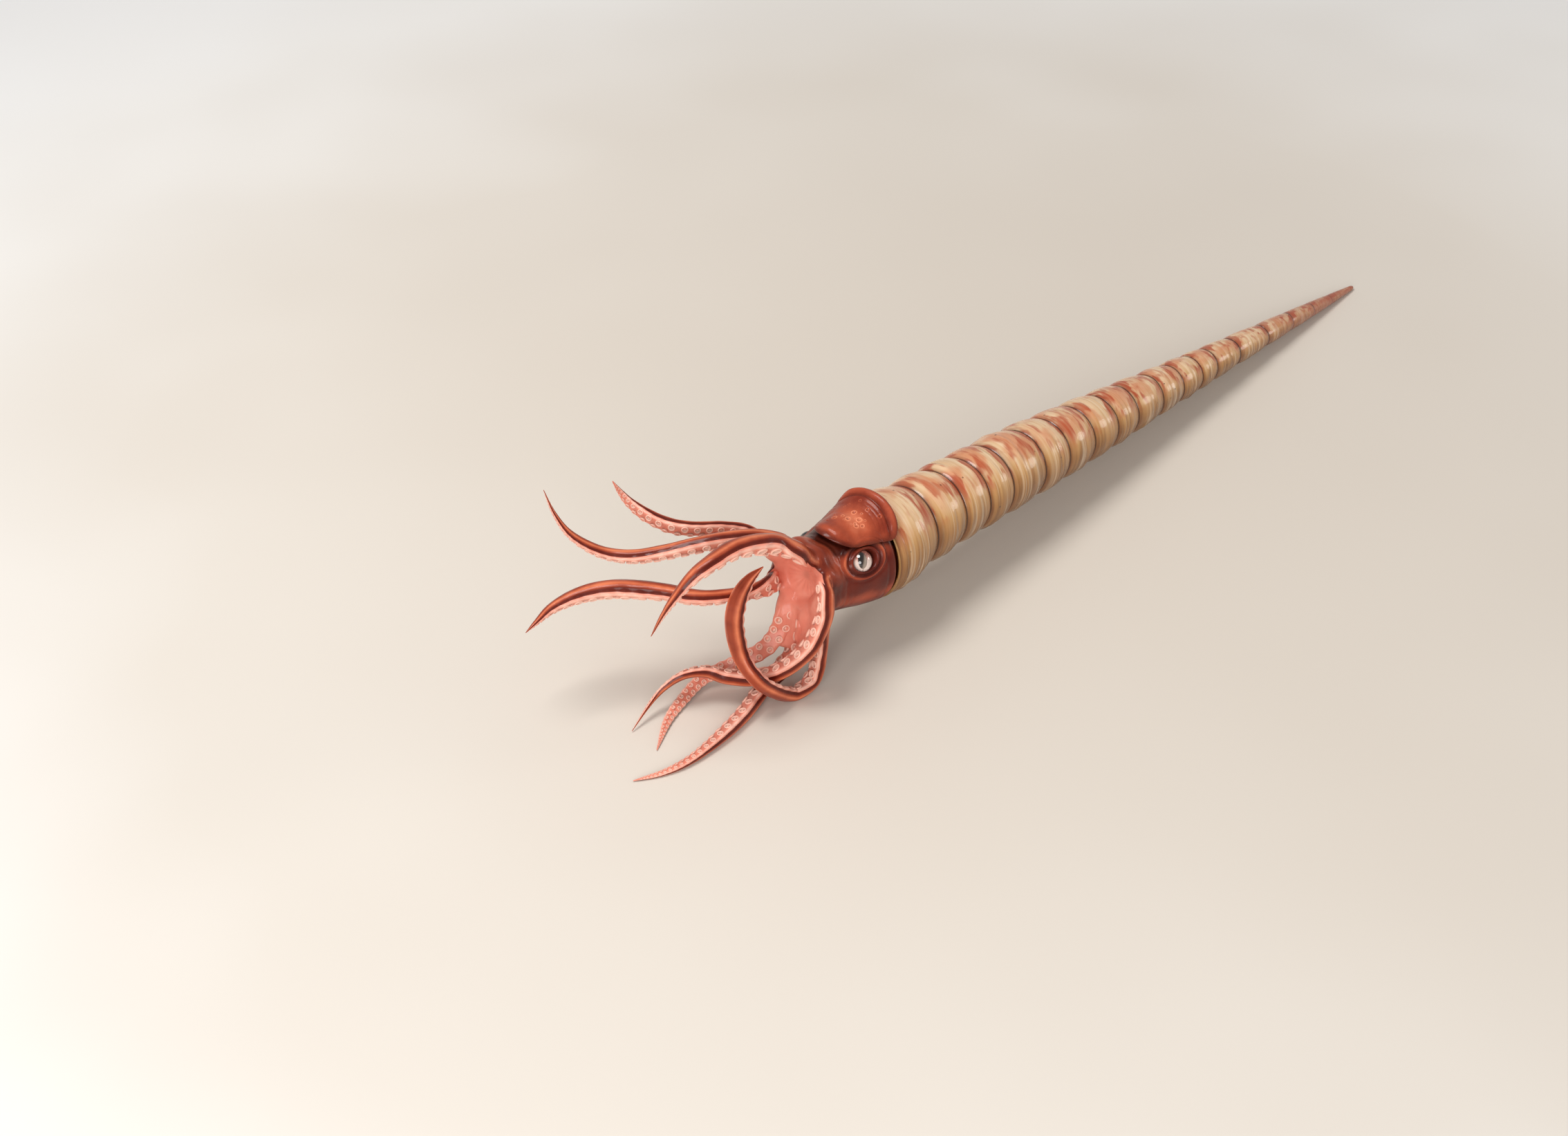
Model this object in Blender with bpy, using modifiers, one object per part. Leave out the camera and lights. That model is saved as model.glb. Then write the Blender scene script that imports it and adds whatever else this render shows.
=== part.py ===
"""Orthoceras, a straight-shelled nautiloid, as it looked alive: shell, head, hood, eyes and eight arms.

The animal rests on the tip of its shell and on the arms that it trails below its mouth. Its axis
lies in the XZ plane and rises by TILT from the tip to the mouth. Places on the body are given by
three numbers: the distance in front of the shell's opening, the angle round the axis from the top
towards the animal's left, and the distance from the axis. Lengths are in millimetres until they
reach a mesh, which is in metres.
"""

import math

import bmesh
import bpy
from mathutils import Matrix, Vector

METRES = 0.001
GAP = 0.3  # between pieces that touch

# Shell
SHELL_LENGTH = 276.0
OPENING_RADIUS = 15.4
TIP_RADIUS = 0.8
# The cone without its rings: (share of the length from the opening, radius).
SHELL_OUTLINE = (
    (0.0, 15.0), (0.035, 14.4), (0.059, 13.3), (0.14, 12.6), (0.22, 12.2), (0.28, 11.6),
    (0.4, 9.9), (0.55, 7.4), (0.75, 4.6), (0.9, 2.5), (1.0, TIP_RADIUS),
)
TILT = math.radians(6)
# How far the middle line hangs below the straight axis: (distance in front of the opening, drop).
DROP = ((-60.0, 0.0), (-30.0, 0.6), (-12.0, 1.6), (0.0, 2.2), (14.0, 2.4), (23.0, 2.5), (31.0, 0.0))
WALL = 1.3
LIP = 4.0  # how far the shell's lip reaches in front of OPENING, the point where distances start
CHAMBER_FLOOR = -12.0
GROOVE_DEPTH = 0.055  # share of the radius
RIDGE_HEIGHT = 0.035
# Grooves between the rings, as shares of the length from the opening.
GROOVES = (
    0.059, 0.110, 0.153, 0.196, 0.257, 0.306, 0.359, 0.408,
    0.454, 0.511, 0.558, 0.603, 0.638, 0.694, 0.766,
)
SHELL_SIDES = 20

# Head
HEAD_SIDES = 32
# (distance in front of the opening, radius)
HEAD_OUTLINE = (
    (-5.0, 12.3), (4.3, 12.7), (5.2, 14.3), (7.0, 14.8), (10.0, 14.4), (14.0, 13.6),
    (19.0, 12.6), (23.5, 11.6), (27.5, 11.9), (29.3, 11.8), (31.0, 10.0),
)
HEAD_PLACES = (
    GAP + CHAMBER_FLOOR, -5.0, 4.3, 5.2, 7.0, 9.5, 12.0, 14.0, 16.0, 18.5, 21.0, 23.5, 27.5, 29.3, 30.4,
)
MOUTH_OUTLINE = ((30.7, 6.6), (32.6, 4.6), (33.4, 1.8))
ARM_START = 31.0
ARM_RING_RADIUS = 9.2

# Eyes
EYE_RADIUS = 3.5
EYE_FORWARD, EYE_DEPTH = 16.4, 11.4
LEFT_EYE_ANGLE, RIGHT_EYE_ANGLE = math.radians(55), math.radians(-72)  # the right eye sits lower
EYE_MOUND = 0.5
EYE_MOUND_WIDTH = 5.0

# Hood
HOOD_MIDDLE, HOOD_HALF_LENGTH = 12.0, 11.8
# (distance in front of the opening, degrees from the top to the hood's edge)
HOOD_WIDTHS = ((0.0, 50), (4.0, 57), (8.0, 47), (13.0, 41), (19.0, 37), (25.0, 33))
# (distance in front of the opening, height above the head's middle)
HOOD_HEIGHTS = ((0.0, 20.2), (3.0, 20.8), (6.5, 17.7), (12.0, 16.0), (18.0, 15.7), (21.5, 15.8), (25.0, 14.4))
HOOD_RIGHT_SIDE = 0.92  # the right half is this share of the left half's width
HOOD_EDGE_DROP = 1.6

# Arms
SUCKERS = 18  # in a row, along one arm
SUCKER_RISE = 0.24  # share of the arm's half width
ARM_STATIONS = (0.0, 0.25, 0.45, 0.6, 0.75, 0.87, 0.95, 1.0)  # shares of an arm's length
ARM_TIP = 0.15  # half width at the last station
# One side of the arm's section to the other, as (across, away from the mouth side), for half width 1.
ARM_SECTION = (
    (-0.74, -0.58), (0.0, -0.5), (0.74, -0.58), (1.0, 0.06), (0.52, 0.78), (-0.52, 0.78), (-1.0, 0.06),
)
SUCKER_CORNERS = (0, 2)
# Each arm: its angle on the crown, its half widths at the stations before the tip, the point that its
# suckers look towards once it has left the crown, and the points that its middle line passes through.
ARMS = {
    "arm_left_1": (22.5, (3.3, 4, 3.8, 3.1, 1.9, 1, 0.5), (-60, -75, -35), (
        (-37, -3, 47.5), (-42, -0.5, 51), (-49, 1, 54), (-57, 2, 56), (-65, 2, 56), (-71.5, 3.5, 53.5),
        (-76.5, 5.5, 48), (-79, 8.5, 41), (-81, 11, 34),
    )),
    "arm_left_2": (67.5, (3.1, 3.2, 3.2, 3, 1.7, 0.9, 0.4), (-45, 28, 62), (
        (-35.5, -14, 35.5), (-37, -15, 31), (-39, -14.5, 26), (-42, -13.5, 20.5), (-45.5, -10, 14.5),
        (-48.5, -5.5, 10), (-52.5, 0, 7.5), (-58, 5, 8.5), (-62, 9, 10.5), (-67.5, 12, 11),
        (-72.5, 14.5, 8.5), (-78, 15.5, 5), (-87.5, 14, 0.5),
    )),
    "arm_left_3": (112.5, (3.2, 2.9, 2.8, 2.4, 2.9, 2.8, 1.5), (-38, 3, 19), (
        (-34, -11, 24.5), (-33.5, -10, 18), (-34, -10, 12.5), (-34.5, -10, 7.5), (-36.5, -10, 3.4),
        (-41, -10, 1.9), (-45.5, -9, 2.1), (-53, -9, 8.5), (-58, -7.5, 15), (-58.5, -2.5, 20),
        (-58, 0.5, 26), (-57.5, 1.5, 32.5), (-55.5, 1.5, 38.5), (-53, 0, 44), (-50, -3, 49),
    )),
    "arm_left_4": (157.5, (3.3, 3.1, 2.9, 2.6, 1.7, 1.1, 0.6), (-300, 60, 160), (
        (-34, -4, 19), (-35, -3, 12.5), (-39.5, -2.5, 7), (-48, -1.5, 2.8), (-60.5, -5, 1.8),
        (-72.5, -7, 1.5), (-84.5, -7.5, 1.1), (-93.5, -5.5, 0.7), (-101.5, -1.5, 0.4),
    )),
    "arm_right_1": (-22.5, (3, 3.2, 2.9, 2.7, 2.1, 1.1, 0.5), (-150, -60, -40), (
        (-35.5, 5.5, 46), (-42, 9.5, 48.5), (-49.5, 14, 49), (-55.5, 18, 48.5), (-62.5, 23.5, 47),
        (-68.5, 29.5, 45.5), (-73, 35.5, 45.5), (-77, 40, 48), (-80.5, 45, 52.5), (-82, 49, 58.5),
        (-82.5, 52, 65),
    )),
    "arm_right_2": (-67.5, (2.9, 2.5, 2.4, 2.6, 2.3, 1.3, 0.6), (-150, -60, 0), (
        (-34.5, 11.5, 41), (-36, 17.5, 43), (-41.5, 22, 45), (-48.5, 27, 46), (-53, 32, 47),
        (-55.5, 38.5, 48.5), (-57.5, 43.5, 51.5), (-59, 46, 55), (-61, 47, 59.5),
    )),
    "arm_right_3": (-112.5, (3.1, 2.7, 3.1, 3.7, 3.4, 2.2, 1), (-100, -60, -90), (
        (-39, 5.5, 31.5), (-46, 5.5, 33), (-54, 8, 34.5), (-61, 12.5, 35.5), (-66.5, 21, 36),
        (-72, 28.5, 36), (-77.5, 34, 36), (-84, 38.5, 35), (-91, 41.5, 33), (-96.5, 42, 31),
        (-101.5, 41.5, 30),
    )),
    "arm_right_4": (-157.5, (3.1, 2.6, 2.1, 1.9, 1.6, 1.1, 0.5), (-250, -200, 250), (
        (-35.5, 2.5, 21), (-38, 2.5, 15.5), (-42.5, 3.5, 11), (-48, 7, 7.5), (-53.5, 11, 5),
        (-59.5, 14, 2.6), (-68.5, 12.5, 1.5), (-77.5, 9.5, 0.9), (-88, 3, 0.4),
    )),
}
# The middle of the ground under the animal, which is the origin.
ORIGIN = Vector((86.4, 17.3, 0.0))

FORWARD = Vector((-math.cos(TILT), 0, math.sin(TILT)))
UP = Vector((math.sin(TILT), 0, math.cos(TILT)))
LEFT = Vector((0, -1, 0))
TIP_CENTRE = Vector(((SHELL_LENGTH - TIP_RADIUS) * math.cos(TILT), 0, TIP_RADIUS))
OPENING = TIP_CENTRE + FORWARD * (SHELL_LENGTH - TIP_RADIUS)

# name: (colour, roughness)
COLOURS = {
    "shell": ((0.62, 0.40, 0.22), 0.35),
    "skin": ((0.28, 0.08, 0.045), 0.3),
    "hood_skin": ((0.34, 0.10, 0.05), 0.35),
    "arm_skin": ((0.42, 0.13, 0.08), 0.3),
    "eye": ((0.68, 0.55, 0.48), 0.1),
}


def on_body(forward, angle, radius):
    """A point on the body: in front of the opening, round from the top to the left, and out from the axis."""
    return OPENING + FORWARD * forward + (UP * math.cos(angle) + LEFT * math.sin(angle)) * radius


def on_middle(forward, angle, radius):
    """The same, round the middle line."""
    return on_body(forward, angle, radius) - UP * between(DROP, forward)


def between(table, at):
    """The value at one place of a table of (place, value), along straight runs."""
    for (start, low), (end, high) in zip(table, table[1:]):
        if at <= end:
            return low + (high - low) * max(0.0, (at - start) / (end - start))
    return table[-1][1]


def ease(x):
    """0 to 1 with level ends."""
    x = min(max(x, 0.0), 1.0)
    return x * x * (3 - 2 * x)


def material(name):
    colour, roughness = COLOURS[name]
    made = bpy.data.materials.get(name) or bpy.data.materials.new(name)
    made.diffuse_color = (*colour, 1)
    made.use_nodes = True
    surface = made.node_tree.nodes["Principled BSDF"]
    surface.inputs["Base Color"].default_value = (*colour, 1)
    surface.inputs["Roughness"].default_value = roughness
    return made


def new_object(name, mesh, finish, collection, parent):
    made = bpy.data.objects.new(name, mesh)
    mesh.materials.append(material(finish))
    mesh.shade_smooth()
    made.parent = parent
    collection.objects.link(made)
    return made


def mesh_from(name, form):
    bmesh.ops.recalc_face_normals(form, faces=form.faces)
    mesh = bpy.data.meshes.new(name)
    form.to_mesh(mesh)
    form.free()
    return mesh


def loft(name, rings):
    """A closed mesh through rings of points in millimetres, all with the same number of points."""
    form = bmesh.new()
    rows = [[form.verts.new(point * METRES) for point in ring] for ring in rings]
    for row, after in zip(rows, rows[1:]):
        for i in range(len(row)):
            j = (i + 1) % len(row)
            form.faces.new((row[i], row[j], after[j], after[i]))
    form.faces.new(rows[0])
    form.faces.new(rows[-1])
    bmesh.ops.triangulate(form, faces=form.faces)
    return mesh_from(name, form)


def shell_profile():
    """The outline as (distance in front of the opening, radius), from the tip down and into the chamber."""
    cone = SHELL_LENGTH - TIP_RADIUS
    points = [
        (-cone - TIP_RADIUS * math.sin(angle), TIP_RADIUS * math.cos(angle))
        for angle in (math.radians(70), math.radians(35), 0)
    ]
    points += [(-cone * share, between(SHELL_OUTLINE, share)) for share in (0.96, 0.91, 0.86, 0.81)]
    for start, end in zip(GROOVES[::-1], (*GROOVES[-2::-1], -LIP / cone)):
        points.append((-cone * start, between(SHELL_OUTLINE, start) * (1 - GROOVE_DEPTH)))
        for part, rise in ((0.18, 0.4), (0.5, 1.0), (0.82, 0.4)):
            share = start + (end - start) * part
            points.append((-cone * share, between(SHELL_OUTLINE, share) * (1 + RIDGE_HEIGHT * rise)))
    inside = OPENING_RADIUS - WALL
    points += [(LIP, OPENING_RADIUS), (LIP - 0.25 * WALL, inside), (CHAMBER_FLOOR, inside - 0.7)]
    return points


def make_shell(collection, parent):
    angles = [2 * math.pi * i / SHELL_SIDES for i in range(SHELL_SIDES)]
    rings = [[on_middle(place, angle, radius) for angle in angles] for place, radius in shell_profile()]
    return new_object("shell", loft("shell", rings), "shell", collection, parent)


def head_radius(forward, angle):
    """The head's outline, with a mound round each eye."""
    radius = between(HEAD_OUTLINE, forward)
    for eye_angle in (LEFT_EYE_ANGLE, RIGHT_EYE_ANGLE):
        around = (angle - eye_angle + math.pi) % (2 * math.pi) - math.pi
        away = math.hypot(forward - EYE_FORWARD, around * radius)
        radius += EYE_MOUND * math.exp(-((away / EYE_MOUND_WIDTH) ** 2))
    return radius


def make_head(collection, parent):
    """The head from its root in the shell to the crown, with the mouth's cone at the front."""
    angles = [2 * math.pi * i / HEAD_SIDES for i in range(HEAD_SIDES)]
    rings = [
        [on_middle(place, angle, head_radius(place, angle)) for angle in angles] for place in HEAD_PLACES
    ]
    rings += [[on_body(place, angle, radius) for angle in angles] for place, radius in MOUTH_OUTLINE]
    return new_object("head", loft("head", rings), "skin", collection, parent)


def make_eye(name, eye_angle, collection, cutters, parent, head):
    centre = on_middle(EYE_FORWARD, eye_angle, EYE_DEPTH)
    for label, radius in ((name, EYE_RADIUS), (name + "_socket", EYE_RADIUS + GAP)):
        form = bmesh.new()
        bmesh.ops.create_uvsphere(form, u_segments=14, v_segments=9, radius=radius * METRES)
        cutter = label != name
        ball = new_object(label, mesh_from(label, form), "eye", cutters if cutter else collection, parent)
        ball.location = centre * METRES
        ball.rotation_euler = (-eye_angle, TILT, 0)
    ball.hide_render = True
    ball.display_type = "WIRE"
    socket = head.modifiers.new("Socket " + name, "BOOLEAN")
    socket.operation = "DIFFERENCE"
    socket.object = ball


def hood_point(along, across, up):
    """Carries a corner of a box from -1 to 1 onto the hood: a rounded pad that hugs the head."""
    round_along = along * math.sqrt(1 - across * across / 2)
    round_across = across * math.sqrt(1 - along * along / 2)
    forward = HOOD_MIDDLE + HOOD_HALF_LENGTH * round_along
    widest = math.radians(between(HOOD_WIDTHS, forward))
    angle = widest * round_across * (1 if across > 0 else HOOD_RIGHT_SIDE)
    edge = max(abs(round_along), abs(round_across)) ** 6
    top = between(HOOD_HEIGHTS, forward) - HOOD_EDGE_DROP * round_across**2
    bottom = max(head_radius(forward, angle), OPENING_RADIUS if forward < LIP + 1 else 0) + GAP + 0.25
    middle = (top + bottom) / 2
    return on_middle(forward, angle, top - (top - middle) * edge * 0.5 if up > 0 else bottom)


def make_hood(collection, parent):
    """The leathery hood over the head, a cage bent over it and smoothed."""
    form = bmesh.new()
    bmesh.ops.create_cube(form, size=2)
    flat = [edge for edge in form.edges if abs(edge.verts[0].co.z - edge.verts[1].co.z) < 1]
    bmesh.ops.subdivide_edges(form, edges=flat, cuts=5, use_grid_fill=True)
    for vert in form.verts:
        vert.co = hood_point(*vert.co) * METRES
    hood = new_object("hood", mesh_from("hood", form), "hood_skin", collection, parent)
    smooth = hood.modifiers.new("Smooth", "SUBSURF")
    smooth.levels = smooth.render_levels = 1
    return hood


def curve_through(points, count):
    """Points on a smooth line through the given ones, leaving straight forward, closer towards its end."""
    leave = FORWARD * 2 * (points[1] - points[0]).length
    ends = [points[1] - leave, *points, points[-1] * 2 - points[-2]]
    fine = []
    for a, b, c, d in zip(ends, ends[1:], ends[2:], ends[3:]):
        for step in range(16):
            t = step / 16
            bend = (2 * a - 5 * b + 4 * c - d) * t**2 + (3 * b - a - 3 * c + d) * t**3
            fine.append(0.5 * (2 * b + (c - a) * t + bend))
    fine.append(points[-1])
    travelled = [0.0]
    for before, after in zip(fine, fine[1:]):
        travelled.append(travelled[-1] + (after - before).length)
    placed = []
    at = 0
    for i in range(count):
        share = 1 - (1 - i / (count - 1)) ** 1.15
        while at < len(fine) - 2 and travelled[at + 1] < share * travelled[-1]:
            at += 1
        part = (share * travelled[-1] - travelled[at]) / (travelled[at + 1] - travelled[at])
        placed.append((share, fine[at].lerp(fine[at + 1], part)))
    return placed


def arm_rings(angle, half_widths, look_at, route):
    """The arm's sections, with a bump at every other one where a sucker stands on each edge."""
    root = on_body(ARM_START, angle, ARM_RING_RADIUS)
    inward = (on_body(ARM_START, angle, 0) - root).normalized()
    line = curve_through([root, *(Vector(point) for point in route)], 2 * SUCKERS + 1)
    widths = tuple(zip(ARM_STATIONS, (*half_widths, ARM_TIP)))
    rings = []
    for i, (share, point) in enumerate(line):
        before = line[max(i - 1, 0)][1]
        after = line[min(i + 1, len(line) - 1)][1]
        along = (after - before).normalized() if i else FORWARD
        turned = ease(share / 0.3)
        mouthward = inward.lerp((Vector(look_at) - point).normalized(), turned)
        mouthward = (mouthward - along * mouthward.dot(along)).normalized()
        across = along.cross(mouthward)
        half = between(widths, share)
        rise = SUCKER_RISE * (i % 2) * ease(share / 0.1)
        ring = []
        for corner, (side, away) in enumerate(ARM_SECTION):
            if corner in SUCKER_CORNERS:
                side, away = side * (1 + 0.6 * rise), away - rise
            ring.append(point + (across * side - mouthward * away) * half)
        rings.append([Vector((p.x, p.y, max(p.z, 0.0))) for p in ring])
    return rings


def make_arms(collection, parent):
    for name, (degrees, half_widths, look_at, route) in ARMS.items():
        rings = arm_rings(math.radians(degrees), half_widths, look_at, route)
        new_object(name, loft(name, rings), "arm_skin", collection, parent)


def main():
    for old in list(bpy.data.objects):
        bpy.data.objects.remove(old)
    collection = bpy.data.collections.new("orthoceras")
    cutters = bpy.data.collections.new("cutters")
    for made in (collection, cutters):
        bpy.context.scene.collection.children.link(made)
    body = bpy.data.objects.new("body", None)
    body.location = -ORIGIN * METRES
    collection.objects.link(body)
    make_shell(collection, body)
    head = make_head(collection, body)
    make_eye("eye_left", LEFT_EYE_ANGLE, collection, cutters, body, head)
    make_eye("eye_right", RIGHT_EYE_ANGLE, collection, cutters, body, head)
    make_hood(collection, body)
    make_arms(collection, body)


main()
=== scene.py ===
"""Orthoceras as it looked alive: the finished surfaces of the shell, head, hood, eyes and arms."""

from math import pi, radians

import bpy
import numpy as np
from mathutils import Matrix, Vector
from numpy import clip, concatenate, cos, hypot, sin, stack


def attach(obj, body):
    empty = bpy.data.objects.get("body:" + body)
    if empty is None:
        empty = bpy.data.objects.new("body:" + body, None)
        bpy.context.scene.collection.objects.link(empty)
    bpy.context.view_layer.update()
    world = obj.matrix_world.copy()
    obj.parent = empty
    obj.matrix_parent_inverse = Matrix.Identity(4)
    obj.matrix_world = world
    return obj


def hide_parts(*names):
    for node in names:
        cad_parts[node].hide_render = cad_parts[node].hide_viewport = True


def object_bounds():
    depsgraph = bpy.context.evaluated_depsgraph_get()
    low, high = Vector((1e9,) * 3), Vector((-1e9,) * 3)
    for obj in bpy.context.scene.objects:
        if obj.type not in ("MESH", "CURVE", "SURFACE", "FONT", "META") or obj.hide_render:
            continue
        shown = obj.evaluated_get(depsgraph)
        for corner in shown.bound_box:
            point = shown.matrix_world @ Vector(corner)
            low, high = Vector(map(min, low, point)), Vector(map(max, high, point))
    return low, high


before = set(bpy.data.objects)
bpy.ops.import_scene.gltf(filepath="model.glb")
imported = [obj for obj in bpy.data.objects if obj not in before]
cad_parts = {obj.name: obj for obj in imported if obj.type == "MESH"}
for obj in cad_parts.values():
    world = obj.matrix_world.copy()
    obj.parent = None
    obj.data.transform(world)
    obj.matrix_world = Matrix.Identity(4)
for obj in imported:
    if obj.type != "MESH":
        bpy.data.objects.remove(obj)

CAD_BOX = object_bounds()
METRES = 0.001

# The body's own frame, in millimetres: the axis rises by TILT from the tip to the mouth.
SHELL_LENGTH = 276.0
TIP_RADIUS = 0.8
TILT = radians(6)
ORIGIN = np.array((86.4, 17.3, 0.0))
FORWARD = np.array((-cos(TILT), 0.0, sin(TILT)))
UP = np.array((sin(TILT), 0.0, cos(TILT)))
LEFT = np.array((0.0, -1.0, 0.0))
TIP_CENTRE = np.array(((SHELL_LENGTH - TIP_RADIUS) * cos(TILT), 0.0, TIP_RADIUS))
OPENING = TIP_CENTRE + FORWARD * (SHELL_LENGTH - TIP_RADIUS)

# How far the middle line hangs below the straight axis: (distance in front of the opening, drop).
DROP = ((-60, 0), (-30, 0.6), (-12, 1.6), (0, 2.2), (14, 2.4), (23, 2.5), (31, 0))

# Shell
SHELL_OUTLINE = (  # (share of the length from the opening to the tip, radius)
    (0, 15), (0.035, 14.4), (0.059, 13.3), (0.14, 12.6), (0.22, 12.2), (0.28, 11.6),
    (0.4, 9.9), (0.55, 7.4), (0.75, 4.6), (0.9, 2.5), (1, TIP_RADIUS),
)
GROOVES = (  # shares of the length
    0.059, 0.110, 0.153, 0.196, 0.257, 0.306, 0.359, 0.408,
    0.454, 0.511, 0.558, 0.603, 0.638, 0.694, 0.766, 0.830, 0.885, 0.935,
)
LIP = 4.0  # how far the shell's edge is in front of the opening
# Round the lip and down the chamber's wall to its floor: (distance behind the lip, radius).
SHELL_INSIDE = ((-0.02, 15.2), (0.1, 14.8), (0.35, 14.3), (0.9, 14.1), (4, 13.8), (15.9, 13.3), (15.9, 8))
SHELL_SIDES = 144
RING_DEPTH, RING_RISE = 0.125, 0.045  # shares of the radius
RING_FOLDS = 4  # small folds on each ring

# Head
HEAD_OUTLINE = (  # (distance in front of the opening, radius)
    (-12, 11.9), (-5, 12.3), (3.9, 12.9), (4.9, 14.4), (7, 14.9), (10, 14.5), (14, 13.7),
    (19, 12.7), (23.5, 11.7), (27.5, 12), (29.3, 12), (31, 11.2), (34, 9),
)
CROWN = 27.5  # where the crown of arms begins
ARM_START = 31.0  # where the arms' middle lines leave the crown
ARM_RING_RADIUS = 9.2
FIRST_ARM = radians(22.5)
RIM_FORWARD, RIM_RADIUS = 30.8, 2.35  # the round rim that joins the arms' roots
FUNNEL = ((28.6, 0.6), (29.6, 3.2), (31, 5.6), (33, 7.2), (36, 9))  # (distance, radius)
MOUTH_FLOOR = 28.9
HEAD_REAR = -11.2  # its flat rear end, hidden in the shell
HEAD_LOW, HEAD_HIGH = np.array((-11.6, -16.8, -24)), np.array((48, 17.6, 16.8))
VOXEL = 0.32  # step of the grid that the head is worked out on
FAR = 1e3

# Eyes
EYE_RADIUS = 3.5
EYE_FORWARD, EYE_DEPTH = 16.4, 11.4
EYE_ANGLES = {1: radians(55), -1: radians(-72)}  # left and right
EYE_GAZE = radians(32)  # turned forward from straight out
FAR_EYE_SINK, FAR_EYE_RELIEF = 0.5, 0.2  # the right eye is deeper, and its lids are lower
LID_RADIUS = 3.05
EYE_ROWS, EYE_SIDES = 64, 96

# Hood
HOOD_MIDDLE, HOOD_HALF_LENGTH = 12, 11.8
HOOD_WIDTHS = ((0, 50), (4, 57), (8, 47), (13, 41), (19, 37), (25, 33))  # degrees each side
HOOD_FAR_SIDE = 0.92  # its right half is this much narrower
HOOD_BRIM = 3.7  # distance from the rear edge to the crease before the brim
HOOD_PITS = 28
HOOD_ROWS, HOOD_SIDES = 220, 380
HOOD_TOP = (  # (distance in front of the opening, height)
    (0, 20.1), (1.2, 20.8), (2.6, 20.6), (3.8, 19.2), (5, 18.1), (8, 16.9), (12, 15.9),
    (18, 15.6), (21, 15.8), (23.8, 14.6),
)

# Arms
ARM_STATIONS = (0, 0.25, 0.45, 0.6, 0.75, 0.87, 0.95, 1)  # shares of an arm's length
ARM_TIP = 0.15  # half width at the last station
ARM_ROWS, ARM_SIDES = 260, 48
STUB = 9.0  # length of an arm's root that is one with the head
FIRST_SUCKER = 5.5  # its distance along the arm
# Degrees by which an arm's section turns about its middle line, at shares of its length.
ROLLS = {
    "arm_left_1": ((0.65, 0), (0.8, -13), (1, -32)),
    "arm_left_2": ((0, -25), (0.15, -45), (0.25, -30), (0.5, 0), (0.65, 8), (0.8, 18), (1, 62)),
    "arm_left_3": ((0, -60), (0.18, -60), (0.36, 0)),
    "arm_right_1": ((0.35, 0), (0.5, -9), (0.65, -19), (0.8, -40), (1, -80)),
}
NO_ROLL = ((0, 0), (1, 0))
# Sheets of skin between the roots of two arms, and how far they reach along them.
WEBS = (
    ("arm_left_2", "arm_left_3", 17), ("arm_left_3", "arm_left_4", 17),
    ("arm_left_2", "arm_left_4", 20), ("arm_left_4", "arm_right_4", 16),
)
WEB_HALF, WEB_SAG = 1.2, 0.35  # half its thickness, and how far its middle hangs back
WEBBED = ("arm_left_4", "arm_right_4")  # the pink goes round these arms' roots
WEBBED_PINK, WEBBED_REACH = 0.9, 22.0
SUCKER_SIDES = 14
# A cup from its hidden foot, over its rim and down to the knob in its middle: (radius, height).
SUCKER_PROFILE = ((0.8, -0.5), (0.9, 0), (1, 0.3), (0.97, 0.5), (0.84, 0.58), (0.68, 0.5),
                  (0.56, 0.26), (0.36, 0.14), (0.2, 0.22))
# Painted shade at each point of the profile: at the cup's foot and down in its bowl.
SUCKER_PAINTED_SHADE = (0.45, 0.375, 0.06, 0, 0, 0.125, 0.35, 0.25, 0.05)
# The brown of an arm's back ends this far towards its mouth side, as the sine of the angle round it.
BOUNDARY = 0.08
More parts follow.
